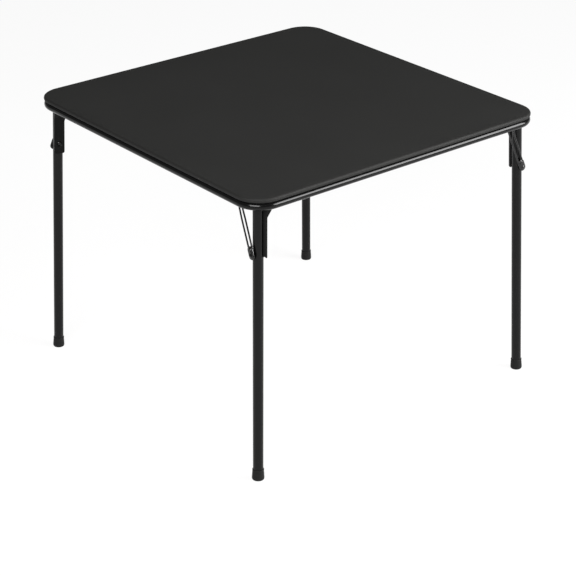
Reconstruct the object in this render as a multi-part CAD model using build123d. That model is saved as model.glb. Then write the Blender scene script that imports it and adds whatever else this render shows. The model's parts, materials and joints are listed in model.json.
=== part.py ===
from build123d import *
from math import acos, asin, atan2, cos, degrees, radians, sin, sqrt
import os

os.makedirs("parts", exist_ok=True)

# A square folding card table with a padded top, a tube rim and four folding legs.
# Origin on the floor under the middle of the top, +Z up, millimetres.

# Table
table_side = 864.0
table_height = 690.0
corner_radius = 62.0

# Padded top
vinyl_thickness = 0.8
foam_thickness = 6.6
board_thickness = 3.2
board_edge_inset = 6.0
edge_roll_radius = 4.8
hem_width = 26.0

# Rim tube
rim_diameter = 18.0
rim_wall = 1.2
seat_gap = 0.2

# Legs
leg_diameter = 24.0
leg_wall = 1.2
leg_end_rise = 6.5
pivot_side_inset = 41.0
pivot_end_inset = 40.0
foot_side_inset = 16.0
foot_end_inset = 16.0
fold_toe_in = 17.0
fold_gap = 0.8

# Foot caps
cap_height = 31.0
cap_top_diameter = 26.4
cap_bottom_diameter = 28.6
cap_floor_thickness = 5.0
cap_round_radius = 3.5
cap_fit_gap = 0.05
cap_ground_allowance = 1.0

# Pivot rivets
pivot_pin_diameter = 6.0
pivot_head_diameter = 11.0
pivot_head_height = 2.4
running_gap = 0.05
head_gap = 0.2

# Channel straps
strap_sheet = 1.4
strap_width = 20.0
strap_face_offset = 19.0
strap_fit_gap = 0.3
strap_lower_drop = 123.0
strap_bend_drop = 28.0
strap_step_drop = 9.0
strap_step_out = 8.5
strap_corner_radius = 7.0

# Rivets and dimples of the straps
leg_rivet_drop = 97.0
leg_rivet_diameter = 4.8
leg_rivet_head_diameter = 9.4
leg_rivet_head_height = 2.2
dimple_head_room = 0.3
dimple_flare = 1.2

# Corner brackets
bracket_sheet = 1.6
ear_width = 14.0
ear_leg_gap = 0.4
bracket_side_reach = 74.0
bracket_end_reach = 92.0
bracket_shoulder = 19.0
bracket_nose_side = 60.0
bracket_nose_end = 60.0
bracket_tip_side = 78.0
bracket_tip_end = 46.0
bracket_corner_radius = 5.0
bracket_weld_gap = 0.1

# Wire braces
brace_wire_diameter = 4.0
brace_wire_spacing = 12.6
brace_hinge_side_inset = 23.4
brace_hinge_end_inset = 85.0
brace_foot_side_inset = 20.0
brace_foot_end_inset = 35.0
brace_foot_drop = 118.5
brace_toe_in = 9.5
brace_pin_head_diameter = 17.0
brace_pin_head_height = 1.6

# Brace lugs
lug_length = 31.0
lug_sheet = 1.2
lug_fit_gap = 0.1
lug_back_gap = 2.0
lug_edge_radius = 0.6
brace_rivet_diameter = 5.0
brace_rivet_head_diameter = 9.0
brace_rivet_head_height = 2.0
brace_rivet_rise = 2.0

# Wire keepers
keeper_wire_diameter = 4.0
keeper_start_inset = 79.0
keeper_knee_side = 93.0
keeper_knee_end = 46.0
keeper_knee_radius = 9.0
keeper_reach = 100.0
keeper_rest_gap = 0.4

# Panel clips and screws
clip_sheet = 1.2
clip_width = 10.0
clip_bend_gap = 2.0
clip_foot_length = 9.5
clip_tube_gap = 0.3
clip_wrap_angle = 68.0
clip_near_inset = 175.0
clip_middle_shift = 18.0
clip_far_inset = 136.0
screw_diameter = 2.8
screw_head_diameter = 5.6
screw_head_height = 1.4
screw_tip_cover = 0.5

# Overrun of every cutting tool
cut_overrun = 5.0

# Levels and centre lines
half_side = table_side / 2
leg_radius = leg_diameter / 2
rim_radius = rim_diameter / 2
wire_radius = brace_wire_diameter / 2
top_thickness = vinyl_thickness + foam_thickness + board_thickness + vinyl_thickness
top_bottom_level = table_height - top_thickness
board_bottom_level = top_bottom_level + vinyl_thickness
rim_level = top_bottom_level - seat_gap - rim_radius
rim_line = half_side - rim_radius
rim_corner_line = corner_radius - rim_radius
bracket_top_level = top_bottom_level - seat_gap
bracket_bottom_level = bracket_top_level - bracket_sheet
pivot_level = bracket_bottom_level - fold_gap - leg_radius

corners = ("front_left", "front_right", "back_right", "back_left")


def corner_point(side_inset, end_inset, level):
    """Point at the front left corner, measured in from the left and the front edge."""
    return Vector(side_inset - half_side, end_inset - half_side, level)


def toe_in_direction(angle):
    """Level direction along the left rail, turned inwards by an angle."""
    return Vector(sin(radians(angle)), cos(radians(angle)), 0)


def swing_frame(hinge, down, folded):
    """Frame at a hinge, with X on the hinge axis and Z up the standing member."""
    return Plane(origin=hinge, x_dir=down.cross(folded).normalized(), z_dir=down * -1).location


# Swing of a leg, from standing to lying under the top
pivot_point = corner_point(pivot_side_inset, pivot_end_inset, pivot_level)
foot_point = corner_point(foot_side_inset, foot_end_inset, 0)
leg_length = (foot_point - pivot_point).length
leg_down = (foot_point - pivot_point).normalized()
leg_folded = toe_in_direction(fold_toe_in)
leg_frame = swing_frame(pivot_point, leg_down, leg_folded)
print("leg axis", leg_down.cross(leg_folded).normalized(), "swing", degrees(acos(leg_down.dot(leg_folded))))

# Swing of a brace, from the leg to its place beside the rail
brace_hinge = corner_point(brace_hinge_side_inset, brace_hinge_end_inset, rim_level)
brace_foot = corner_point(brace_foot_side_inset, brace_foot_end_inset, rim_level - brace_foot_drop)
brace_length = (brace_foot - brace_hinge).length
brace_down = (brace_foot - brace_hinge).normalized()
brace_folded = toe_in_direction(brace_toe_in)
brace_frame = swing_frame(brace_hinge, brace_down, brace_folded)
print("brace axis", brace_down.cross(brace_folded).normalized(), "swing", degrees(acos(brace_down.dot(brace_folded))))

# Places across a leg, from its middle outwards along the pivot axis
inner_ear_face = leg_radius + ear_leg_gap
strap_outer_face = strap_face_offset + strap_step_out
outer_ear_face = strap_outer_face - strap_sheet - head_gap - bracket_sheet
strap_top_radius = strap_width / 2
dimple_floor_face = leg_radius + strap_fit_gap
leg_rivet_head_face = dimple_floor_face + strap_sheet + head_gap
cross_reach = strap_outer_face + leg_diameter

# Places across a brace
lug_back_face = wire_radius + lug_back_gap + lug_sheet


def rounded_slab(side, radius, bottom, thickness):
    """Square slab with rounded corners."""
    return Pos(0, 0, bottom) * extrude(RectangleRounded(side, side, radius), thickness)


def rolled_slab(inset, radius):
    """Body of the padded top, drawn in by an inset, with its upper and lower edge rolled."""
    slab = rounded_slab(
        table_side - 2 * inset, corner_radius - inset, top_bottom_level + inset, top_thickness - 2 * inset
    )
    slab = fillet(slab.faces().sort_by(Axis.Z)[-1].edges(), radius)
    return fillet(slab.faces().sort_by(Axis.Z)[0].edges(), radius)


def cross_cylinder(radius, start, end):
    """Cylinder on the local X axis between two places."""
    return Pos(start, 0, 0) * extrude(Plane.YZ * Circle(radius), end - start)


def domed_head(radius, height, face, direction):
    """Round head on the local X axis, flat at its face and domed towards the direction."""
    dome_radius = (radius**2 + height**2) / (2 * height)
    start_angle = degrees(asin(1 - height / dome_radius))
    dome = Pos(0, 0, height - dome_radius) * Sphere(dome_radius, arc_size1=start_angle, align=None)
    return Pos(face, 0, 0) * Rot(0, 90 * direction, 0) * dome


def at_rails(piece):
    """The piece of the left rail, repeated at its three places on every rail."""
    copies = []
    for quarter in range(len(corners)):
        for offset in (clip_near_inset - half_side, clip_middle_shift, half_side - clip_far_inset):
            copies.append(Rot(0, 0, 90 * quarter) * Pos(0, offset, 0) * piece)
    return copies


# Padded top: cover with its turned-under hem, pad and panel
padding_space = rolled_slab(vinyl_thickness, edge_roll_radius - vinyl_thickness)
panel_slab = rounded_slab(
    table_side - 2 * board_edge_inset, corner_radius - board_edge_inset, board_bottom_level, board_thickness
)


def make_vinyl_cover():
    hem_opening = rounded_slab(
        table_side - 2 * hem_width, corner_radius - hem_width, top_bottom_level - cut_overrun, 2 * cut_overrun
    )
    return rolled_slab(0, edge_roll_radius) - padding_space - hem_opening


def make_foam_pad():
    return padding_space - panel_slab


screw_inset = hem_width + clip_bend_gap + clip_foot_length / 2


def make_hardboard_panel():
    hole_bottom = Pos(screw_inset - half_side, 0, board_bottom_level - cut_overrun)
    hole = hole_bottom * extrude(Circle(screw_diameter / 2 + running_gap), board_thickness + 2 * cut_overrun)
    panel = panel_slab
    for copy in at_rails(hole):
        panel -= copy
    return panel


# Rim: four straight tubes and four quarter bends in one ring
def make_rim_tube():
    straight_half = half_side - corner_radius
    section = Circle(rim_radius) - Circle(rim_radius - rim_wall)
    ring = []
    for quarter in range(len(corners)):
        straight = Pos(rim_line, straight_half, rim_level) * extrude(Plane.XZ * section, 2 * straight_half)
        profile = Plane.XZ * (Pos(rim_corner_line, 0) * section)
        bend = Pos(straight_half, straight_half, rim_level) * revolve(profile, Axis.Z, 90)
        ring += [Rot(0, 0, 90 * quarter) * straight, Rot(0, 0, 90 * quarter) * bend]
    return ring[0].fuse(*ring[1:])


# Leg tube, its foot cap and the rivet through it
def make_leg_tube():
    tube_end = leg_length - cap_floor_thickness - cap_fit_gap
    tube = Pos(0, 0, -tube_end) * extrude(Circle(leg_radius), tube_end + leg_end_rise)
    below_pivot = Pos(0, 0, -tube_end) * extrude(Rectangle(2 * leg_diameter, 2 * leg_diameter), tube_end)
    tube &= cross_cylinder(leg_radius, -leg_diameter, leg_diameter) + below_pivot
    tube -= Pos(0, 0, -tube_end) * extrude(Circle(leg_radius - leg_wall), tube_end + leg_diameter)
    tube -= cross_cylinder(pivot_pin_diameter / 2 + running_gap, -leg_diameter, leg_diameter)
    rivet_hole = cross_cylinder(leg_rivet_diameter / 2 + running_gap, -leg_diameter, leg_diameter)
    return leg_frame * (tube - Pos(0, 0, -leg_rivet_drop) * rivet_hole)


def make_foot_cap():
    bottom = -leg_length - cap_ground_allowance
    bore_radius = leg_radius + cap_fit_gap
    side = make_face(
        Polyline(
            (0, bottom),
            (cap_bottom_diameter / 2, bottom),
            (cap_top_diameter / 2, cap_height - leg_length),
            (bore_radius, cap_height - leg_length),
            (bore_radius, cap_floor_thickness - leg_length),
            (0, cap_floor_thickness - leg_length),
            close=True,
        )
    )
    rim_corner = side.vertices().sort_by_distance((cap_bottom_diameter / 2, bottom, 0))[0]
    cap = leg_frame * revolve(Plane.XZ * fillet(rim_corner, cap_round_radius), Axis.Z, 360)
    ground = Pos(foot_point.X, foot_point.Y, -cap_height / 2) * Box(table_side, table_side, cap_height)
    return cap - ground


def make_leg_rivet():
    shank = cross_cylinder(leg_rivet_diameter / 2, strap_fit_gap - leg_radius, leg_rivet_head_face)
    head = domed_head(leg_rivet_head_diameter / 2, leg_rivet_head_height, leg_rivet_head_face, 1)
    return leg_frame * Pos(0, 0, -leg_rivet_drop) * (shank + head)


# Channel strap beside the leg, with the pressed dimple that its rivet sits in
def dimple_cone(floor, wall):
    """Cone of the dimple from a floor outwards, drawn in by a wall."""
    floor_radius = leg_rivet_head_diameter / 2 + dimple_head_room + strap_sheet - wall
    mouth_face = floor + strap_face_offset - dimple_floor_face
    side = make_face(
        Polyline(
            (floor, 0),
            (floor, floor_radius),
            (mouth_face, floor_radius + dimple_flare),
            (mouth_face, 0),
            close=True,
        )
    )
    return Pos(0, 0, -leg_rivet_drop) * revolve(side, Axis.X, 360)


def make_leg_strap():
    inner_face = strap_face_offset - strap_sheet
    side = make_face(
        Polyline(
            (0, -strap_lower_drop),
            (strap_face_offset, -strap_lower_drop),
            (strap_face_offset, -strap_bend_drop),
            (strap_outer_face, -strap_step_drop),
            (strap_outer_face, strap_top_radius),
            (0, strap_top_radius),
            close=True,
        )
    )
    behind_web = make_face(
        Polyline(
            (0, -strap_bend_drop),
            (inner_face, -strap_bend_drop),
            (strap_outer_face - strap_sheet, -strap_step_drop),
            (strap_outer_face - strap_sheet, strap_top_radius + cut_overrun),
            (0, strap_top_radius + cut_overrun),
            close=True,
        )
    )
    strap = extrude(Plane.XZ * side, strap_width / 2, both=True)
    strap -= extrude(Plane.XZ * behind_web, strap_width, both=True)
    channel = Pos(inner_face / 2, 0) * Rectangle(inner_face, strap_width - 2 * strap_sheet)
    strap -= Pos(0, 0, -strap_lower_drop - cut_overrun) * extrude(channel, strap_lower_drop)
    front = Circle(strap_top_radius) + Pos(0, -strap_lower_drop / 2) * Rectangle(strap_width, strap_lower_drop)
    front = fillet(front.vertices().group_by(Axis.Y)[0], strap_corner_radius)
    strap &= extrude(Plane.YZ * front, cross_reach)
    strap -= Pos(0, 0, -strap_lower_drop - cut_overrun) * extrude(
        Circle(leg_radius + strap_fit_gap), strap_lower_drop + strap_width + cut_overrun
    )
    cup = dimple_cone(dimple_floor_face, 0) - dimple_cone(dimple_floor_face + strap_sheet, strap_sheet)
    strap = strap - dimple_cone(dimple_floor_face, 0) + cup
    strap -= cross_cylinder(pivot_pin_diameter / 2 + running_gap, 0, cross_reach)
    rivet_hole = cross_cylinder(leg_rivet_diameter / 2 + running_gap, 0, cross_reach)
    return leg_frame * (strap - Pos(0, 0, -leg_rivet_drop) * rivet_hole)


# Corner bracket: a plate under the hem with two ears that carry the pivot rivet
def make_corner_bracket():
    weld_inset = rim_radius + sqrt(rim_radius**2 - (bracket_bottom_level - rim_level) ** 2) + bracket_weld_gap
    inside_rim = RectangleRounded(
        table_side - 2 * weld_inset, table_side - 2 * weld_inset, corner_radius - weld_inset
    )
    outline = Polyline(
        corner_point(0, 0, 0),
        corner_point(bracket_end_reach, 0, 0),
        corner_point(bracket_end_reach, bracket_shoulder, 0),
        corner_point(bracket_tip_side, bracket_tip_end, 0),
        corner_point(bracket_nose_side, bracket_nose_end, 0),
        corner_point(bracket_shoulder, bracket_side_reach, 0),
        corner_point(0, bracket_side_reach, 0),
        close=True,
    )
    plate_face = fillet(make_face(outline).vertices(), bracket_corner_radius) & inside_rim
    bracket = Pos(0, 0, bracket_bottom_level) * extrude(plate_face, bracket_sheet)
    ear_rise = bracket_top_level - pivot_level + cut_overrun
    ear_outline = Circle(ear_width / 2) + Pos(0, ear_rise / 2) * Rectangle(ear_width, ear_rise)
    above_plate = Pos(pivot_point.X, pivot_point.Y, bracket_top_level + ear_rise) * Box(
        table_side, table_side, 2 * ear_rise
    )
    for face in (-inner_ear_face - bracket_sheet, outer_ear_face):
        ear = leg_frame * Pos(face, 0, 0) * extrude(Plane.YZ * ear_outline, bracket_sheet)
        bracket += ear - above_plate
    pivot_hole = cross_cylinder(pivot_pin_diameter / 2 + running_gap, -cross_reach, cross_reach)
    return bracket - leg_frame * pivot_hole


def make_pivot_rivet():
    inner_head_face = -inner_ear_face - bracket_sheet - head_gap
    outer_head_face = strap_outer_face + head_gap
    shank = cross_cylinder(pivot_pin_diameter / 2, inner_head_face, outer_head_face)
    inner_head = domed_head(pivot_head_diameter / 2, pivot_head_height, inner_head_face, -1)
    outer_head = domed_head(pivot_head_diameter / 2, pivot_head_height, outer_head_face, 1)
    return leg_frame * (shank + inner_head + outer_head)


# Wire brace: a closed loop of wire that turns on a stud of the rim
def make_brace_wire():
    section = Circle(wire_radius)
    bend_radius = brace_wire_spacing / 2
    near_section = Pos(0, bend_radius) * section
    far_section = Pos(0, -bend_radius) * section
    foot_place = Pos(0, 0, -brace_length)
    near_run = foot_place * extrude(near_section, brace_length)
    far_run = foot_place * extrude(far_section, brace_length)
    head_bend = revolve(near_section, Axis.X, 180)
    foot_bend = foot_place * revolve(far_section, Axis.X, 180)
    return brace_frame * near_run.fuse(far_run, head_bend, foot_bend)


def lug_outline(half_width, rise):
    """Outline with a half-round foot."""
    return Circle(half_width) + Pos(0, rise / 2) * Rectangle(2 * half_width, rise)


# Lug: a stamped cup over the foot of the brace, and the rivet through both
def make_brace_lug():
    inner_half = (brace_wire_spacing + brace_wire_diameter) / 2 + lug_fit_gap
    outer_half = inner_half + lug_sheet
    rise = lug_length - outer_half
    depth = lug_back_face + wire_radius
    cup = Pos(-lug_back_face, 0, 0) * extrude(Plane.YZ * lug_outline(outer_half, rise), depth)
    cup = fillet(cup.faces().sort_by(Axis.X)[0].edges(), lug_edge_radius)
    cup -= Pos(lug_sheet - lug_back_face, 0, 0) * extrude(
        Plane.YZ * lug_outline(inner_half, rise + cut_overrun), depth
    )
    cup -= Pos(0, 0, brace_rivet_rise) * cross_cylinder(
        brace_rivet_diameter / 2 + running_gap, -lug_back_face - cut_overrun, 0
    )
    return brace_frame * Pos(0, 0, -brace_length) * cup


def make_brace_rivet():
    head_face = -lug_back_face - head_gap
    shank = cross_cylinder(brace_rivet_diameter / 2, head_face, wire_radius)
    head = domed_head(brace_rivet_head_diameter / 2, brace_rivet_head_height, head_face, -1)
    return brace_frame * Pos(0, 0, brace_rivet_rise - brace_length) * (shank + head)


def make_brace_pin():
    pin_radius = brace_wire_spacing / 2 - wire_radius - running_gap
    head_face = wire_radius + head_gap
    pin = cross_cylinder(pin_radius, rim_radius - brace_hinge_side_inset, head_face)
    head = domed_head(brace_pin_head_diameter / 2, brace_pin_head_height, head_face, 1)
    rail = Pos(-rim_line, 0, rim_level) * extrude(
        Plane.XZ * Circle(rim_radius + bracket_weld_gap), half_side, both=True
    )
    return brace_frame * (pin + head) - rail


# Wire keeper: springs against the strap of the folded leg
def make_keeper_wire():
    across = leg_folded.cross(Vector(0, 0, 1))
    rest_offset = strap_face_offset + keeper_rest_gap + keeper_wire_diameter / 2
    start = corner_point(keeper_start_inset, rim_radius, pivot_level)
    knee = corner_point(keeper_knee_side, keeper_knee_end, pivot_level)
    tip = pivot_point + leg_folded * keeper_reach + across * rest_offset
    path = FilletPolyline(start, knee, tip, radius=keeper_knee_radius)
    wire = sweep(Plane(origin=path @ 0, z_dir=path % 0) * Circle(keeper_wire_diameter / 2), path)
    rail = Pos(0, -rim_line, rim_level) * extrude(
        Plane.YZ * Circle(rim_radius + bracket_weld_gap), half_side, both=True
    )
    return wire - rail


# Panel clips: sheet strips from the panel down and round the inside of the rim, and their screws
def make_panel_clips():
    half_sheet = clip_sheet / 2
    tube_x = -rim_line
    wrap_inner = rim_radius + clip_tube_gap
    bend_x = hem_width + clip_bend_gap - half_side
    bend_z = board_bottom_level - half_sheet
    bend_distance = sqrt((bend_x - tube_x) ** 2 + (bend_z - rim_level) ** 2)
    bend_angle = degrees(atan2(bend_z - rim_level, bend_x - tube_x))
    tangent_angle = bend_angle - degrees(acos((wrap_inner + half_sheet) / bend_distance))
    sweep_angle = tangent_angle + clip_wrap_angle
    inner = CenterArc((tube_x, rim_level), wrap_inner, -clip_wrap_angle, sweep_angle)
    outer = CenterArc((tube_x, rim_level), wrap_inner + clip_sheet, -clip_wrap_angle, sweep_angle)
    wrap = make_face([inner, outer, Line(inner @ 0, outer @ 0), Line(inner @ 1, outer @ 1)])
    across = Vector(cos(radians(tangent_angle)), sin(radians(tangent_angle))) * half_sheet
    bend = Vector(bend_x, bend_z)
    strip = make_face(Polyline(bend - across, bend + across, outer @ 1, inner @ 1, close=True))
    foot = Pos(bend_x + clip_foot_length / 2, bend_z) * Rectangle(clip_foot_length, clip_sheet)
    side = foot + strip + wrap + Pos(bend_x, bend_z) * Circle(half_sheet)
    clip = extrude(Plane.XZ * side, clip_width / 2, both=True)
    hole = Pos(screw_inset - half_side, 0, board_bottom_level - clip_sheet - cut_overrun) * extrude(
        Circle(screw_diameter / 2 + running_gap), clip_sheet + 2 * cut_overrun
    )
    return Compound(children=at_rails(clip - hole))


def make_clip_screws():
    length = board_thickness - screw_tip_cover + clip_sheet
    screw = cross_cylinder(screw_diameter / 2, 0, length)
    screw += domed_head(screw_head_diameter / 2, screw_head_height, 0, -1)
    upright = Pos(screw_inset - half_side, 0, board_bottom_level - clip_sheet) * Rot(0, -90, 0)
    return Compound(children=at_rails(upright * screw))


single_nodes = {
    "vinyl_cover": make_vinyl_cover,
    "foam_pad": make_foam_pad,
    "hardboard_panel": make_hardboard_panel,
    "rim_tube": make_rim_tube,
    "panel_clips": make_panel_clips,
    "clip_screws": make_clip_screws,
}

corner_nodes = {
    "leg_tube": make_leg_tube,
    "foot_cap": make_foot_cap,
    "leg_strap": make_leg_strap,
    "leg_rivet": make_leg_rivet,
    "corner_bracket": make_corner_bracket,
    "pivot_rivet": make_pivot_rivet,
    "brace_wire": make_brace_wire,
    "brace_lug": make_brace_lug,
    "brace_rivet": make_brace_rivet,
    "brace_pin": make_brace_pin,
    "keeper_wire": make_keeper_wire,
}

for name, make in single_nodes.items():
    export_step(make(), f"parts/{name}.step")

for name, make in corner_nodes.items():
    piece = make()
    for quarter, corner in enumerate(corners):
        export_step(Rot(0, 0, 90 * quarter) * piece, f"parts/{name}_{corner}.step")
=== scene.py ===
import json
import math
import bmesh
import bpy
from mathutils import Matrix, Vector


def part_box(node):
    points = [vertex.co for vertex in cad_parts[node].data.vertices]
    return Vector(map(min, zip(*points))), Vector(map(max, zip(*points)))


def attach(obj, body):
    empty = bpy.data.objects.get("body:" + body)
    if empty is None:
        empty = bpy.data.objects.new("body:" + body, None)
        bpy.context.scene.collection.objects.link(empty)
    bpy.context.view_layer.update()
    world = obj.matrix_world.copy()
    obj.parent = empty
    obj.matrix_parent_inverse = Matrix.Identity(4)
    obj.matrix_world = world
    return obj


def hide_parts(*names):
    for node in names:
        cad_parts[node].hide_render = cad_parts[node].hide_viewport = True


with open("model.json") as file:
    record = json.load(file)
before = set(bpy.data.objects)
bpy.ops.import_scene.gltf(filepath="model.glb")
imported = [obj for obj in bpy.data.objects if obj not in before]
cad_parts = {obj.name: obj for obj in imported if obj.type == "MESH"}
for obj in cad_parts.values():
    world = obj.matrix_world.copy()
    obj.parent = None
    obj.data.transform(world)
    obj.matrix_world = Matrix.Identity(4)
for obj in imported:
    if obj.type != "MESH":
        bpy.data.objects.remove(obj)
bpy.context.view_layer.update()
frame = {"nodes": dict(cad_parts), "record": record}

# A folding card table: padded vinyl top, black steel tube, bright zinc fittings
# Blender's own unit here is the metre, and a size in millimetres is multiplied by MM
MM = 0.001
CORNERS = ("front_left", "front_right", "back_right", "back_left")

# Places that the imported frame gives
top_low, top_high = (Vector(corner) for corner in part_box("vinyl_cover"))
board_low, board_high = (Vector(corner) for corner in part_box("hardboard_panel"))
rim_low, rim_high = (Vector(corner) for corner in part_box("rim_tube"))
half_side = top_high.x
rim_radius = (rim_high.z - rim_low.z) / 2
rim_level = rim_low.z + rim_radius
joints = {joint["name"]: joint for joint in frame["record"]["behaviour"]["joints"]}

# Sizes of the top and places of the feet, as the solids have them
CORNER_RADIUS = 62 * MM
HEM_WIDTH = 26 * MM
EDGE_ROLL = 4.8 * MM
LEG_FOOT_INSET = 16 * MM
BRACE_FOOT_SIDE_INSET = 20 * MM
BRACE_FOOT_END_INSET = 35 * MM
BRACE_FOOT_DROP = 118.5 * MM

# Points closer together than this are one point
MERGE_GAP = 0.01 * MM


def paint(code):
    """An sRGB hex colour as the linear colour that the shaders read."""
    channels = [int(code[i:i + 2], 16) / 255 for i in (1, 3, 5)]
    return [c / 12.92 if c <= 0.04045 else ((c + 0.055) / 1.055) ** 2.4 for c in channels] + [1]


# Materials

# The colour sockets of a Mix node: the two colours it mixes and the one it gives
COLOUR_A, COLOUR_B, COLOUR_OUT = 6, 7, 2


def add_node(tree, kind, settings=None, sources=None):
    """Adds a shader node, sets its sockets and properties, and links what feeds it. A socket that
    shares its name with another is given by its number."""
    node = tree.nodes.new(kind)
    for name, value in (settings or {}).items():
        if isinstance(name, int) or name in node.inputs:
            node.inputs[name].default_value = value
        else:
            setattr(node, name, value)
    for socket, source in (sources or {}).items():
        tree.links.new(source, node.inputs[socket])
    return node


def new_finish(name):
    """A material with only its surface shader, and the object coordinates that its patterns read."""
    material = bpy.data.materials.new(name)
    material.use_nodes = True
    tree = material.node_tree
    tree.nodes.clear()
    output = tree.nodes.new("ShaderNodeOutputMaterial")
    shader = tree.nodes.new("ShaderNodeBsdfPrincipled")
    tree.links.new(shader.outputs["BSDF"], output.inputs["Surface"])
    place = tree.nodes.new("ShaderNodeTexCoord").outputs["Object"]
    return material, tree, shader, place


def per_metre(size_mm):
    """Scale of a pattern whose features are this many millimetres apart."""
    return 1 / (size_mm * MM)


def grained_vinyl():
    # Calendered PVC upholstery cloth, embossed with a fine leather grain: even and dull, with a soft sheen.
    # The grain is drawn twice as coarse as the real one, which is too fine to show
    material, tree, shader, place = new_finish("grained_pvc_vinyl")
    shader.inputs["Specular IOR Level"].default_value = 0.2
    cells = add_node(
        tree, "ShaderNodeTexVoronoi", {"Scale": per_metre(2.2), "Randomness": 1.0}, {"Vector": place}
    )
    fine = add_node(
        tree, "ShaderNodeTexNoise", {"Scale": per_metre(1.1), "Detail": 3.0}, {"Vector": place}
    )
    relief = add_node(
        tree, "ShaderNodeMath", {"operation": "MULTIPLY_ADD", 1: 0.5},
        {0: cells.outputs["Distance"], 2: fine.outputs["Fac"]},
    )
    bump = add_node(
        tree, "ShaderNodeBump", {"Strength": 0.25, "Distance": 0.15 * MM}, {"Height": relief.outputs["Value"]}
    )
    tree.links.new(bump.outputs["Normal"], shader.inputs["Normal"])
    drift = add_node(
        tree, "ShaderNodeTexNoise", {"Scale": per_metre(160), "Detail": 2.0}, {"Vector": place}
    )
    colour = add_node(
        tree, "ShaderNodeMix",
        {"data_type": "RGBA", COLOUR_A: paint("#171716"), COLOUR_B: paint("#1b1b1a")},
        {0: drift.outputs["Fac"]},
    )
    tree.links.new(colour.outputs[COLOUR_OUT], shader.inputs["Base Color"])
    worn = add_node(
        tree, "ShaderNodeMapRange", {"To Min": 0.62, "To Max": 0.72}, {"Value": drift.outputs["Fac"]}
    )
    tree.links.new(worn.outputs["Result"], shader.inputs["Roughness"])
    return material


def black_coat(name, code, gloss_level, smoothest, dullest):
    """Black coat on steel: smooth, with the faint orange peel and the cloudy gloss of a baked finish.
    Its gloss level and the range of its roughness are matched to the photograph."""
    material, tree, shader, place = new_finish(name)
    shader.inputs["Base Color"].default_value = paint(code)
    shader.inputs["Specular IOR Level"].default_value = gloss_level
    peel = add_node(
        tree, "ShaderNodeTexNoise", {"Scale": per_metre(4), "Detail": 1.0}, {"Vector": place}
    )
    bump = add_node(
        tree, "ShaderNodeBump", {"Strength": 0.04, "Distance": 0.1 * MM}, {"Height": peel.outputs["Fac"]}
    )
    tree.links.new(bump.outputs["Normal"], shader.inputs["Normal"])
    cloud = add_node(
        tree, "ShaderNodeTexNoise", {"Scale": per_metre(45), "Detail": 3.0}, {"Vector": place}
    )
    gloss = add_node(
        tree, "ShaderNodeMapRange", {"To Min": smoothest, "To Max": dullest}, {"Value": cloud.outputs["Fac"]}
    )
    tree.links.new(gloss.outputs["Result"], shader.inputs["Roughness"])
    return material


def zinc_plate():
    # Bright zinc plate on drawn wire and stamped sheet: pale metal, a little clouded, with fine draw marks
    material, tree, shader, place = new_finish("bright_zinc_plate")
    shader.inputs["Metallic"].default_value = 1
    cloud = add_node(
        tree, "ShaderNodeTexNoise", {"Scale": per_metre(6), "Detail": 4.0}, {"Vector": place}
    )
    colour = add_node(
        tree, "ShaderNodeMix",
        {"data_type": "RGBA", COLOUR_A: paint("#b4b5b3"), COLOUR_B: paint("#d6d6d2")},
        {0: cloud.outputs["Fac"]},
    )
    tree.links.new(colour.outputs[COLOUR_OUT], shader.inputs["Base Color"])
    gloss = add_node(
        tree, "ShaderNodeMapRange", {"To Min": 0.2, "To Max": 0.4}, {"Value": cloud.outputs["Fac"]}
    )
    tree.links.new(gloss.outputs["Result"], shader.inputs["Roughness"])
    marks = add_node(
        tree, "ShaderNodeTexNoise", {"Scale": per_metre(0.8), "Detail": 2.0}, {"Vector": place}
    )
    bump = add_node(
        tree, "ShaderNodeBump", {"Strength": 0.1, "Distance": 0.05 * MM}, {"Height": marks.outputs["Fac"]}
    )
    tree.links.new(bump.outputs["Normal"], shader.inputs["Normal"])
    return material


def foot_rubber():
    # Moulded black rubber: dull and slightly dusty
    material, tree, shader, place = new_finish("moulded_black_rubber")
    shader.inputs["Specular IOR Level"].default_value = 0.2
    shader.inputs["Roughness"].default_value = 0.6
    dust = add_node(
        tree, "ShaderNodeTexNoise", {"Scale": per_metre(9), "Detail": 4.0}, {"Vector": place}
    )
    colour = add_node(
        tree, "ShaderNodeMix",
        {"data_type": "RGBA", COLOUR_A: paint("#080808"), COLOUR_B: paint("#0f0f0e")},
        {0: dust.outputs["Fac"]},
    )
    tree.links.new(colour.outputs[COLOUR_OUT], shader.inputs["Base Color"])
    bump = add_node(
        tree, "ShaderNodeBump", {"Strength": 0.15, "Distance": 0.1 * MM}, {"Height": dust.outputs["Fac"]}
    )
    tree.links.new(bump.outputs["Normal"], shader.inputs["Normal"])
    return material


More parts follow.
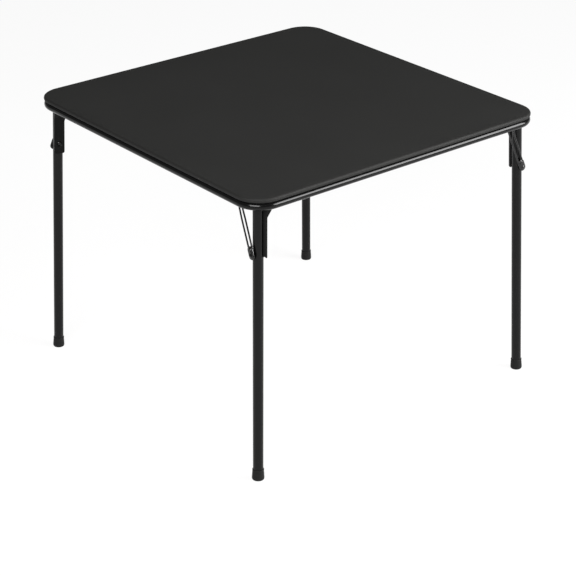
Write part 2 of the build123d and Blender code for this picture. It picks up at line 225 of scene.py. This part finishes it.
def pressed_hardboard():
    # Hardboard, smooth side out: hot-pressed brown fibre with fine darker flecks and wide faint blotches
    material, tree, shader, place = new_finish("pressed_hardboard")
    shader.inputs["Specular IOR Level"].default_value = 0.35
    shader.inputs["Roughness"].default_value = 0.6
    fibre = add_node(
        tree, "ShaderNodeTexNoise", {"Scale": per_metre(3), "Detail": 6.0, "Roughness": 0.7},
        {"Vector": place},
    )
    blotch = add_node(
        tree, "ShaderNodeTexNoise", {"Scale": per_metre(90), "Detail": 3.0}, {"Vector": place}
    )
    mixed = add_node(
        tree, "ShaderNodeMath", {"operation": "MULTIPLY_ADD", 1: 0.6},
        {0: fibre.outputs["Fac"], 2: blotch.outputs["Fac"]},
    )
    spread = add_node(
        tree, "ShaderNodeMapRange", {"From Min": 0.55, "From Max": 1.05}, {"Value": mixed.outputs["Value"]}
    )
    colour = add_node(
        tree, "ShaderNodeMix",
        {"data_type": "RGBA", COLOUR_A: paint("#a58373"), COLOUR_B: paint("#b69484")},
        {0: spread.outputs["Result"]},
    )
    tree.links.new(colour.outputs[COLOUR_OUT], shader.inputs["Base Color"])
    bump = add_node(
        tree, "ShaderNodeBump", {"Strength": 0.1, "Distance": 0.1 * MM}, {"Height": fibre.outputs["Fac"]}
    )
    tree.links.new(bump.outputs["Normal"], shader.inputs["Normal"])
    return material


def open_foam():
    # Cut polyurethane foam: cream and matte, with open cells
    material, tree, shader, place = new_finish("cream_open_foam")
    shader.inputs["Roughness"].default_value = 0.95
    cells = add_node(tree, "ShaderNodeTexVoronoi", {"Scale": per_metre(1.0)}, {"Vector": place})
    colour = add_node(
        tree, "ShaderNodeMix",
        {"data_type": "RGBA", COLOUR_A: paint("#c9bd9a"), COLOUR_B: paint("#ddd3b4")},
        {0: cells.outputs["Distance"]},
    )
    tree.links.new(colour.outputs[COLOUR_OUT], shader.inputs["Base Color"])
    return material


VINYL = grained_vinyl()
# Satin powder coat on the tubes: crisp bright lines under the soft boxes
COAT = black_coat("satin_black_powder_coat", "#080808", 0.2, 0.12, 0.17)
# Glossy enamel on the wires, lugs, pins and rivets: thin bright lines where they face a soft box
ENAMEL = black_coat("glossy_black_wire_enamel", "#080808", 0.4, 0.08, 0.12)
# Dull dipped lacquer on the straps and brackets: deeper and flatter than the tubes
LACQUER = black_coat("dull_black_dipped_lacquer", "#090909", 0.09, 0.4, 0.5)
ZINC = zinc_plate()
RUBBER = foot_rubber()
HARDBOARD = pressed_hardboard()
FOAM = open_foam()

FINISHES = {
    "vinyl_cover": VINYL,
    "foam_pad": FOAM,
    "hardboard_panel": HARDBOARD,
    "rim_tube": COAT,
    "panel_clips": ZINC,
    "clip_screws": ZINC,
    "leg_tube": COAT,
    "foot_cap": RUBBER,
    "leg_strap": LACQUER,
    "leg_rivet": ENAMEL,
    "corner_bracket": LACQUER,
    "pivot_rivet": ENAMEL,
    "brace_wire": ENAMEL,
    "brace_lug": ENAMEL,
    "brace_rivet": ENAMEL,
    "brace_pin": ENAMEL,
    "keeper_wire": ENAMEL,
}


def dress_frame():
    """Gives every piece of the CAD the finish of its kind."""
    for node, piece in frame["nodes"].items():
        kind = node
        for corner in CORNERS:
            kind = kind.removesuffix("_" + corner)
        piece.data.materials.clear()
        piece.data.materials.append(FINISHES[kind])


# New pieces


def quarter_turn(quarter):
    """Turns a place by so many corners, from the front left one towards the front right one."""
    return Matrix.Rotation(math.pi / 2 * quarter, 3, "Z")


def finished_piece(name, bm, material, body):
    """Turns a bmesh into a finished, smoothly shaded object that rides on a body."""
    mesh = bpy.data.meshes.new(name)
    bm.to_mesh(mesh)
    bm.free()
    piece = bpy.data.objects.new(name, mesh)
    bpy.context.scene.collection.objects.link(piece)
    mesh.materials.append(material)
    for polygon in mesh.polygons:
        polygon.use_smooth = True
    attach(piece, body)
    return piece


# Padded top

# The pad swells a little towards the middle: each pair is a share of the corner's radius, from its
# centre outwards, and the share of the crown that is lost there
CROWN = 0.5 * MM
CROWN_SHARES = ((0.0, 0.0), (0.3, 0.02), (0.55, 0.12), (0.72, 0.35))
# Steps of the rolled edge, from the crown to its outermost line and from there to the hem
EDGE_STEPS = 7
# Where the hem has points, as shares of its width from the edge inwards, and its eased lower arris
HEM_SHARES = (0.4, 0.6, 0.8, 0.95)
HEM_ARRIS = 0.2 * MM
# Room between the pad and the underside and edge of the board
BOARD_FACE_GAP = 0.02 * MM
BOARD_EDGE_GAP = 0.1 * MM


def pad_profile():
    """Section of the padded top at a corner: distance from the corner's centre and height, from the
    middle of the upper side round the edge and the hem to the middle of the lower side."""
    top, bottom = top_high.z, top_low.z
    outer = CORNER_RADIUS
    board_edge = outer - (half_side - board_high.x) + BOARD_EDGE_GAP
    hem_edge = outer - HEM_WIDTH
    points = [(outer * reach, top - CROWN * loss) for reach, loss in CROWN_SHARES]
    points.append((outer - 2 * EDGE_ROLL, top - CROWN))
    for i in range(EDGE_STEPS + 1):
        angle = math.pi / 2 * (1 - i / EDGE_STEPS)
        points.append((outer - EDGE_ROLL + EDGE_ROLL * math.cos(angle),
                       top - CROWN - EDGE_ROLL + EDGE_ROLL * math.sin(angle)))
    for i in range(1, EDGE_STEPS + 1):
        angle = -math.pi / 2 * i / EDGE_STEPS
        points.append((outer - EDGE_ROLL + EDGE_ROLL * math.cos(angle),
                       bottom + EDGE_ROLL + EDGE_ROLL * math.sin(angle)))
    points += [(outer - HEM_WIDTH * share, bottom) for share in HEM_SHARES]
    points += [(hem_edge, bottom + HEM_ARRIS), (hem_edge, board_low.z - BOARD_FACE_GAP)]
    points += [(board_edge, board_low.z - BOARD_FACE_GAP), (board_edge, board_high.z), (0.0, board_high.z)]
    return points


# Faces round each corner and along each side
CORNER_STEPS, SIDE_STEPS = 14, 32


def make_padded_top():
    """The padded top: the edge section spun round each corner and run along each side, and the middle
    filled in above and below."""
    bm = bmesh.new()
    centre = half_side - CORNER_RADIUS
    section = [bm.verts.new((centre, -centre - distance, height)) for distance, height in pad_profile()]
    edges = [bm.edges.new(pair) for pair in zip(section, section[1:])]
    strip = section + edges
    for quarter in range(len(CORNERS)):
        turn = quarter_turn(quarter)
        spun = bmesh.ops.spin(
            bm, geom=strip, cent=turn @ Vector((centre, -centre, 0)), axis=(0, 0, 1),
            angle=math.pi / 2, steps=CORNER_STEPS, use_merge=False,
        )
        run = bmesh.ops.spin(
            bm, geom=spun["geom_last"], cent=(0, 0, 0), axis=(0, 0, 1), angle=0,
            dvec=turn @ Vector((0, 2 * centre / SIDE_STEPS, 0)), steps=SIDE_STEPS, use_merge=False,
        )
        strip = run["geom_last"]
    for height in (top_high.z, board_high.z):
        bmesh.ops.create_grid(
            bm, x_segments=SIDE_STEPS, y_segments=SIDE_STEPS, size=centre,
            matrix=Matrix.Translation((0, 0, height)),
        )
    bmesh.ops.remove_doubles(bm, verts=bm.verts, dist=MERGE_GAP)
    bmesh.ops.recalc_face_normals(bm, faces=bm.faces)
    ease_hem(bm)
    piece = finished_piece("padded_vinyl_top", bm, VINYL, "frame")
    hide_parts("vinyl_cover", "foam_pad")


# The hem's cut edge: how far it wanders, and the two waves that it wanders in, in radians to the metre.
# The first start is for the left and right sides, the second for the front and back
HEM_WANDER = 0.9 * MM
LONG_WAVE, SHORT_WAVE, SHORT_WAVE_SHARE = 21, 47, 0.6
SIDE_WAVE_START, FRONT_WAVE_START = 1.7, 0.4
# The part of the hem that moves, as shares of its width from the edge of the top inwards
HEM_FIXED_SHARE, HEM_END_SHARE = 0.5, 1.05
# Points up to this far above the board's underside belong to the hem
HEM_LEVEL_SLACK = 0.1 * MM


def ease_hem(bm):
    """The cut edge of the hem was trimmed by hand, so it wanders a little along each side."""
    for vertex in bm.verts:
        place = vertex.co
        if place.z > board_low.z + HEM_LEVEL_SLACK:
            continue
        on_side = abs(place.x) > abs(place.y)
        reach, along_reach = max(abs(place.x), abs(place.y)), min(abs(place.x), abs(place.y))
        inside = (half_side - reach) / HEM_WIDTH
        if not HEM_FIXED_SHARE <= inside <= HEM_END_SHARE or along_reach > half_side - CORNER_RADIUS:
            continue
        along = place.y if on_side else place.x
        start = SIDE_WAVE_START if on_side else FRONT_WAVE_START
        drift = math.sin(along * LONG_WAVE + start)
        drift += SHORT_WAVE_SHARE * math.sin(along * SHORT_WAVE + 2 * start)
        shift = drift * HEM_WANDER * (inside - HEM_FIXED_SHARE) / (1 - HEM_FIXED_SHARE)
        if on_side:
            place.x += math.copysign(shift, place.x)
        else:
            place.y += math.copysign(shift, place.y)


# Corner fittings

# The feet of a leg and of a brace in the front left corner, and the length of a brace
LEG_FOOT = Vector((LEG_FOOT_INSET - half_side, LEG_FOOT_INSET - half_side, 0))
BRACE_FOOT = Vector((BRACE_FOOT_SIDE_INSET - half_side, BRACE_FOOT_END_INSET - half_side,
                     rim_level - BRACE_FOOT_DROP))
BRACE_LENGTH = (Vector(joints["brace_swing_front_left"]["pos_m"]) - BRACE_FOOT).length


def member_place(joint_name, foot, quarter):
    """Frame of a leg or a brace: its hinge is the origin, X runs along the hinge pin and Z up the member.
    The foot is given for the front left corner."""
    joint = joints[joint_name]
    hinge = Vector(joint["pos_m"])
    along_pin = Vector(joint["axis"]).normalized()
    upward = (hinge - quarter_turn(quarter) @ foot).normalized()
    turn = Matrix((along_pin, upward.cross(along_pin), upward)).transposed()
    return Matrix.Translation(hinge) @ turn.to_4x4()


def leg_place(quarter):
    return member_place("leg_fold_" + CORNERS[quarter], LEG_FOOT, quarter)


def brace_place(quarter):
    return member_place("brace_swing_" + CORNERS[quarter], BRACE_FOOT, quarter)


# Radius and height above the floor in millimetres: the sole, the heel and the flare, then the lip and
# the bore
CAP_SECTION = (
    (0, -1), (11.2, -1), (12.9, -0.3), (14.0, 1.2), (14.35, 3.4), (14.3, 5.5), (13.8, 14), (13.35, 21),
    (13.2, 22.6), (13.25, 23.3), (13.5, 23.9), (13.55, 24.7), (13.35, 25.5), (12.9, 26), (12.05, 26),
    (12.05, 5), (0, 5),
)
# Points round a cap or a lug
ROUND_STEPS = 40


def spun_section(bm, section):
    """Turns a section, given as radius and height in millimetres, round the Z axis."""
    points = [bm.verts.new((radius * MM, 0, height * MM)) for radius, height in section]
    edges = [bm.edges.new(pair) for pair in zip(points, points[1:])]
    bmesh.ops.spin(
        bm, geom=points + edges, cent=(0, 0, 0), axis=(0, 0, 1), angle=2 * math.pi, steps=ROUND_STEPS,
        use_merge=True,
    )
    bmesh.ops.remove_doubles(bm, verts=bm.verts, dist=MERGE_GAP)
    bmesh.ops.recalc_face_normals(bm, faces=bm.faces)


def make_foot_caps():
    """Moulded rubber caps: rounded heel, a slight flare and a rolled lip. The sole is worn flat on the
    floor, so the slanted cap is cut off there."""
    for quarter, corner in enumerate(CORNERS):
        bm = bmesh.new()
        spun_section(bm, CAP_SECTION)
        foot = quarter_turn(quarter) @ LEG_FOOT
        at_foot = Matrix.Translation(foot) @ leg_place(quarter).to_3x3().to_4x4()
        bmesh.ops.transform(bm, matrix=at_foot, verts=bm.verts)
        parts = bm.verts[:] + bm.edges[:] + bm.faces[:]
        bmesh.ops.bisect_plane(bm, geom=parts, plane_co=(0, 0, 0), plane_no=(0, 0, 1), clear_inner=True)
        bmesh.ops.holes_fill(bm, edges=[edge for edge in bm.edges if edge.is_boundary], sides=0)
        bmesh.ops.recalc_face_normals(bm, faces=bm.faces)
        piece = finished_piece("moulded_foot_cap_" + corner, bm, RUBBER, "leg_" + corner)
        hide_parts("foot_cap_" + corner)


# Channel straps, in millimetres: each has its round head at the pivot, steps in towards the leg below
# it and is pressed in again round the lower rivet. The top is a rise above the pivot, the foot a drop
STRAP_HALF_WIDTH, STRAP_TOP, STRAP_TIP_HALF_WIDTH = 12.5, 10, 1.0
STRAP_FOOT, STRAP_CORNER = 122.5, 5
STRAP_SHEET = 1.4
# How far the outer face stands off the leg's axis below the step and at the head, and the drops below
# the pivot between which it steps
STRAP_FACE, STRAP_HEAD_FACE = 16.5, 27.5
STRAP_STEP_START, STRAP_STEP_END = 9, 28
DIMPLE_DROP, DIMPLE_FLOOR_FACE, DIMPLE_FLOOR_RADIUS, DIMPLE_MOUTH_RADIUS = 97, 13.7, 5.2, 7.4
# The flanges start below the head and end this far from the leg's axis
FLANGE_START, FLANGE_EDGE = 12, 7.2
# Half sizes of the openings for the pivot rivet, as a drop and a share of the width, and for the leg
# rivet, as a drop and a length across
PIVOT_OPENING, PIVOT_OPENING_SHARE = 4, 0.31
RIVET_OPENING, RIVET_OPENING_ACROSS = 3.1, 2.6
# Drops of the rows of points: the head, the plain web, the dimple and the foot
STRAP_ROWS = (
    (-10, -9.6, -8.6, -7, -5.5, -3.6, 0, 3.6, 6, 9, 12, 16, 20, 24, 28)
    + (34, 42, 50, 58, 66, 74, 82)
    + tuple(88 + 1.2 * i for i in range(16))
    + (109, 113, 117.5, 118.8, 120, 121, 121.8, 122.3, 122.5)
)
STRAP_COLUMNS = 21
# A point beyond this share of the half width is on the strap's edge
STRAP_EDGE_SHARE = 0.999


def strap_half_width(drop):
    """Half width of the strap at a drop below the pivot: a round head, and a foot with round corners."""
    if drop < 0:
        return max(STRAP_HALF_WIDTH * math.sqrt(max(1 - (drop / STRAP_TOP) ** 2, 0)), STRAP_TIP_HALF_WIDTH)
    past = drop - (STRAP_FOOT - STRAP_CORNER)
    if past <= 0:
        return STRAP_HALF_WIDTH
    return STRAP_HALF_WIDTH - STRAP_CORNER + math.sqrt(max(STRAP_CORNER ** 2 - past ** 2, 0))


def strap_face(across, drop):
    """How far the outer face stands off the leg's axis: stepped out at the pivot, pressed in at the
    lower rivet."""
    step = min(max((STRAP_STEP_END - drop) / (STRAP_STEP_END - STRAP_STEP_START), 0), 1)
    face = STRAP_FACE + (STRAP_HEAD_FACE - STRAP_FACE) * step
    reach = math.hypot(across, drop - DIMPLE_DROP)
    press = (DIMPLE_MOUTH_RADIUS - reach) / (DIMPLE_MOUTH_RADIUS - DIMPLE_FLOOR_RADIUS)
    press = min(max(press, 0), 1)
    return face - (STRAP_FACE - DIMPLE_FLOOR_FACE) * press * press * (3 - 2 * press)


def give_sheet(piece, thickness):
    """Gives a pressed piece the thickness of its sheet, inwards from the modelled face."""
    wall = piece.modifiers.new("sheet", "SOLIDIFY")
    wall.thickness = thickness * MM
    wall.offset = -1


def make_channel_straps():
    """Channel straps: a web beside the leg with a flange down each side that wraps towards it."""
    for quarter, corner in enumerate(CORNERS):
        bm = bmesh.new()
        rows = len(STRAP_ROWS) - 1
        bmesh.ops.create_grid(bm, x_segments=rows, y_segments=STRAP_COLUMNS - 1, size=1)
        sides, round_pivot, round_rivet = set(), set(), set()
        for vertex in bm.verts:
            drop = STRAP_ROWS[round((vertex.co.x + 1) / 2 * rows)]
            share = vertex.co.y
            across = strap_half_width(drop) * share
            if abs(share) > STRAP_EDGE_SHARE and FLANGE_START <= drop <= STRAP_FOOT - STRAP_CORNER:
                sides.add(vertex)
            if abs(drop) < PIVOT_OPENING and abs(share) < PIVOT_OPENING_SHARE:
                round_pivot.add(vertex)
            if abs(drop - DIMPLE_DROP) < RIVET_OPENING and abs(across) < RIVET_OPENING_ACROSS:
                round_rivet.add(vertex)
            vertex.co = (strap_face(across, drop) * MM, across * MM, -drop * MM)
        edges = [edge for edge in bm.edges if edge.is_boundary and sides.issuperset(edge.verts)]
        openings = [face for face in bm.faces
                    if round_pivot.issuperset(face.verts) or round_rivet.issuperset(face.verts)]
        bmesh.ops.delete(bm, geom=openings, context="FACES")
        flanges = bmesh.ops.extrude_edge_only(bm, edges=edges)["geom"]
        for vertex in (item for item in flanges if isinstance(item, bmesh.types.BMVert)):
            vertex.co.x = FLANGE_EDGE * MM
        bmesh.ops.recalc_face_normals(bm, faces=bm.faces)
        bmesh.ops.transform(bm, matrix=leg_place(quarter), verts=bm.verts)
        piece = finished_piece("channel_strap_" + corner, bm, LACQUER, "leg_" + corner)
        give_sheet(piece, STRAP_SHEET)
        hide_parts("leg_strap_" + corner)


# Wire loops: sizes of the wire and its two bends, and the points round the wire, along a bend and down
# a run. Each loop stays square for a little below its pin and then twists over the next stretch
WIRE_RADIUS, WIRE_BEND_RADIUS = 2.0 * MM, 6.34 * MM
WIRE_SIDES, WIRE_BEND_STEPS, WIRE_RUN_STEPS = 16, 18, 16
SQUARE_RUN, TWIST_RUN, LOOP_TWIST = 11 * MM, 35 * MM, math.radians(9)
HEAD_SPREAD_SHARE = 0.07


def make_brace_loops():
    """Wire loops: the head hooks square over its pin, and the runs draw together a little and twist
    towards the foot, as a loop bent by hand does."""
    for quarter, corner in enumerate(CORNERS):
        bm = bmesh.new()
        ring = bmesh.ops.create_circle(
            bm, segments=WIRE_SIDES, radius=WIRE_RADIUS, matrix=Matrix.Translation((0, WIRE_BEND_RADIUS, 0))
        )["verts"]
        strip = ring + bm.edges[:]
        for centre, shift in ((0, -BRACE_LENGTH), (-BRACE_LENGTH, BRACE_LENGTH)):
            bend = bmesh.ops.spin(
                bm, geom=strip, cent=(0, 0, centre), axis=(1, 0, 0), angle=math.pi, steps=WIRE_BEND_STEPS,
                use_merge=False,
            )
            run = bmesh.ops.spin(
                bm, geom=bend["geom_last"], cent=(0, 0, 0), axis=(1, 0, 0), angle=0,
                dvec=(0, 0, shift / WIRE_RUN_STEPS), steps=WIRE_RUN_STEPS, use_merge=False,
            )
            strip = run["geom_last"]
        bmesh.ops.remove_doubles(bm, verts=bm.verts, dist=MERGE_GAP)
        for vertex in bm.verts:
            drop = min(max(-vertex.co.z, 0), BRACE_LENGTH)
            vertex.co.y *= 1 + HEAD_SPREAD_SHARE * (1 - drop / BRACE_LENGTH)
            twist = LOOP_TWIST * min(max(drop - SQUARE_RUN, 0) / TWIST_RUN, 1)
            vertex.co.xy = (
                vertex.co.x * math.cos(twist) - vertex.co.y * math.sin(twist),
                vertex.co.x * math.sin(twist) + vertex.co.y * math.cos(twist),
            )
        bmesh.ops.recalc_face_normals(bm, faces=bm.faces)
        bmesh.ops.transform(bm, matrix=brace_place(quarter), verts=bm.verts)
        piece = finished_piece("wire_loop_" + corner, bm, ENAMEL, "brace_" + corner)
        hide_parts("brace_wire_" + corner)


# Half width and place across the brace, in millimetres, from the skirt's open edge over the shoulder to
# the top of the boss. The upper half of each ring is drawn up by the rise, so the lug is longer than wide
LUG_RINGS = (
    (8.9, 0.8), (8.9, -2.0), (8.7, -2.7), (8.2, -3.2), (7.5, -3.4), (6.3, -3.5), (5.7, -3.8),
    (5.3, -4.4), (4.9, -4.9), (4.2, -5.1), (2.0, -5.15),
)
LUG_RISE = 13
LUG_SHEET = 0.6


def make_brace_lugs():
    """Stamped lugs: a shallow pan that wraps the foot of the wire loop, drawn out to a long boss under
    the rivet."""
    for quarter, corner in enumerate(CORNERS):
        bm = bmesh.new()
        half_width, place_across = LUG_RINGS[0]
        turn = Matrix.Rotation(math.pi / ROUND_STEPS, 4, "X") @ Matrix.Rotation(math.pi / 2, 4, "Y")
        ring = bmesh.ops.create_circle(
            bm, segments=ROUND_STEPS, radius=half_width * MM,
            matrix=Matrix.Translation((place_across * MM, 0, 0)) @ turn,
        )["verts"]
        for vertex in ring:
            if vertex.co.z > 0:
                vertex.co.z += LUG_RISE * MM
        edges = bm.edges[:]
        for next_half_width, place_across in LUG_RINGS[1:]:
            grown = bmesh.ops.extrude_edge_only(bm, edges=edges)["geom"]
            edges = [item for item in grown if isinstance(item, bmesh.types.BMEdge)]
            share = next_half_width / half_width
            for vertex in (item for item in grown if isinstance(item, bmesh.types.BMVert)):
                base = LUG_RISE * MM if vertex.co.z > LUG_RISE * MM / 2 else 0
                vertex.co = (place_across * MM, vertex.co.y * share, base + (vertex.co.z - base) * share)
            half_width = next_half_width
        bmesh.ops.contextual_create(bm, geom=edges)
        bmesh.ops.recalc_face_normals(bm, faces=bm.faces)
        turned = Matrix.Translation((0, 0, -BRACE_LENGTH)) @ Matrix.Rotation(LOOP_TWIST, 4, "Z")
        bmesh.ops.transform(bm, matrix=brace_place(quarter) @ turned, verts=bm.verts)
        piece = finished_piece("stamped_lug_" + corner, bm, ENAMEL, "brace_" + corner)
        give_sheet(piece, LUG_SHEET)
        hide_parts("brace_lug_" + corner)


# The bracket's plate lies this far under the cover and is this thick
SEAT_GAP, BRACKET_SHEET = 0.2 * MM, 1.6 * MM
# Beads of weld: half length and half height, and how far each sits below the plate's underside
BEAD_RADIUS, BEAD_HALF_HEIGHT, BEAD_DROP = 1.7 * MM, 1.1 * MM, 0.5 * MM
# The weld round the front left corner, in degrees: its middle, how far it goes to either side and its
# pitch. Beyond it lie a straight one along the side and one along the front
CORNER_WELD_MIDDLE, CORNER_WELD_HALF, CORNER_WELD_PITCH = 225, 15, 3
STRAIGHT_WELD_BEADS = 8
SIDE_WELD_START, SIDE_WELD_PITCH = 63 * MM, 1.3 * MM
FRONT_WELD_START, FRONT_WELD_PITCH = 66 * MM, 1.6 * MM


def make_weld_beads():
    """Short welds that hold each corner bracket to the rim: overlapping beads in the groove under the
    plate."""
    bm = bmesh.new()
    plate_bottom = top_low.z - SEAT_GAP - BRACKET_SHEET
    reach = rim_radius + math.sqrt(rim_radius ** 2 - (plate_bottom - rim_level) ** 2)
    centre = Vector((CORNER_RADIUS - half_side, CORNER_RADIUS - half_side, plate_bottom - BEAD_DROP))
    spots = []
    for degrees in range(-CORNER_WELD_HALF, CORNER_WELD_HALF + 1, CORNER_WELD_PITCH):
        angle = math.radians(CORNER_WELD_MIDDLE + degrees)
        spots.append(centre + (CORNER_RADIUS - reach) * Vector((math.cos(angle), math.sin(angle), 0)))
    for i in range(STRAIGHT_WELD_BEADS):
        along_side = SIDE_WELD_START + SIDE_WELD_PITCH * i - half_side
        along_front = FRONT_WELD_START + FRONT_WELD_PITCH * i - half_side
        spots.append(Vector((reach - half_side, along_side, centre.z)))
        spots.append(Vector((along_front, reach - half_side, centre.z)))
    bead = Matrix.Diagonal((BEAD_RADIUS, BEAD_RADIUS, BEAD_HALF_HEIGHT, 1))
    for quarter in range(len(CORNERS)):
        for spot in spots:
            place = quarter_turn(quarter).to_4x4() @ Matrix.Translation(spot) @ bead
            bmesh.ops.create_icosphere(bm, subdivisions=2, radius=1, matrix=place)
    piece = finished_piece("weld_beads", bm, COAT, "frame")


# Studio

# The view that fits the edges of the top, the rim and the four legs in the photograph: lens and sensor
# in millimetres, reach and place in metres, tilt below the horizon and turn to the right in radians
CAMERA_LENS, CAMERA_SENSOR, CAMERA_REACH = 114.294, 36, 50
CAMERA_PLACE = (-2.59688, -3.19994, 2.22805)
CAMERA_TILT, CAMERA_TURN = 0.4585, 0.68371


def make_camera():
    """The photograph's own view, level and unshifted."""
    camera_data = bpy.data.cameras.new("photo_camera")
    camera_data.sensor_width = CAMERA_SENSOR
    camera_data.lens = CAMERA_LENS
    camera_data.clip_end = CAMERA_REACH
    camera = bpy.data.objects.new("photo_camera", camera_data)
    camera.location = CAMERA_PLACE
    camera.rotation_euler = (math.pi / 2 - CAMERA_TILT, 0, -CAMERA_TURN)
    bpy.context.scene.collection.objects.link(camera)
    bpy.context.scene.camera = camera


# Share of the floor that cameras, metal and glass see at full white, and half its side in metres
FLOOR_GLOW_SHARE = 0.9
FLOOR_HALF_SIDE = 30


def make_floor():
    """A wide white paper floor. Cameras, metal and glass see most of it at full white, and the rest of
    it keeps the table's shadow."""
    bm = bmesh.new()
    bmesh.ops.create_grid(bm, x_segments=1, y_segments=1, size=FLOOR_HALF_SIDE)
    mesh = bpy.data.meshes.new("studio_floor")
    bm.to_mesh(mesh)
    bm.free()
    floor = bpy.data.objects.new("studio_floor", mesh)
    bpy.context.scene.collection.objects.link(floor)
    # Seamless background paper: plain white and matte
    material, tree, shader, _ = new_finish("white_paper_floor")
    shader.inputs["Base Color"].default_value = paint("#f4f4f4")
    shader.inputs["Roughness"].default_value = 0.9
    shader.inputs["Specular IOR Level"].default_value = 0.1
    rays = tree.nodes.new("ShaderNodeLightPath")
    camera_or_gloss = add_node(
        tree, "ShaderNodeMath", {"operation": "MAXIMUM"},
        {0: rays.outputs["Is Camera Ray"], 1: rays.outputs["Is Glossy Ray"]},
    )
    seen = add_node(
        tree, "ShaderNodeMath", {"operation": "MAXIMUM"},
        {0: camera_or_gloss.outputs[0], 1: rays.outputs["Is Transmission Ray"]},
    )
    glow = add_node(
        tree, "ShaderNodeMath", {"operation": "MULTIPLY", 1: FLOOR_GLOW_SHARE}, {0: seen.outputs[0]}
    )
    white = add_node(tree, "ShaderNodeEmission", {"Color": paint("#ffffff"), "Strength": 1.0})
    mix = add_node(
        tree, "ShaderNodeMixShader", None,
        {0: glow.outputs[0], 1: shader.outputs["BSDF"], 2: white.outputs["Emission"]},
    )
    tree.links.new(mix.outputs[0], tree.nodes["Material Output"].inputs["Surface"])
    mesh.materials.append(material)


SURROUNDINGS_STRENGTH = 0.18
# Name, place, target, width and height in metres, and power in watts
SOFT_BOXES = (
    ("right_soft_box", (1.9, -2.7, 1.8), (0, -0.3, 0.65), (2.4, 1.8), 250),
    ("left_soft_box", (-2.77, -1.83, 2.48), (-0.4, -0.4, 0.68), (2.1, 1.5), 165),
    ("top_soft_box", (0.3, 0.3, 3.4), (0, 0, 0.6), (2.0, 2.0), 20),
)


def make_studio():
    """Even grey surroundings and three soft boxes. The large one on the right draws the bright lines
    along the rim and the rolled edge, and the left one the bright spot on the rim's front corner."""
    scene = bpy.context.scene
    scene.view_settings.view_transform = "Standard"
    world = bpy.data.worlds.new("grey_surroundings")
    scene.world = world
    world.use_nodes = True
    background = world.node_tree.nodes["Background"]
    background.inputs["Color"].default_value = paint("#ffffff")
    background.inputs["Strength"].default_value = SURROUNDINGS_STRENGTH
    for name, place, target, size, power in SOFT_BOXES:
        lamp = bpy.data.lights.new(name, "AREA")
        lamp.shape = "RECTANGLE"
        lamp.size, lamp.size_y = size
        lamp.energy = power
        lamp_object = bpy.data.objects.new(name, lamp)
        lamp_object.location = place
        lamp_object.rotation_euler = (Vector(target) - Vector(place)).to_track_quat("-Z", "Y").to_euler()
        scene.collection.objects.link(lamp_object)


dress_frame()
make_padded_top()
make_foot_caps()
make_channel_straps()
make_brace_loops()
make_brace_lugs()
make_weld_beads()
make_camera()
make_floor()
make_studio()
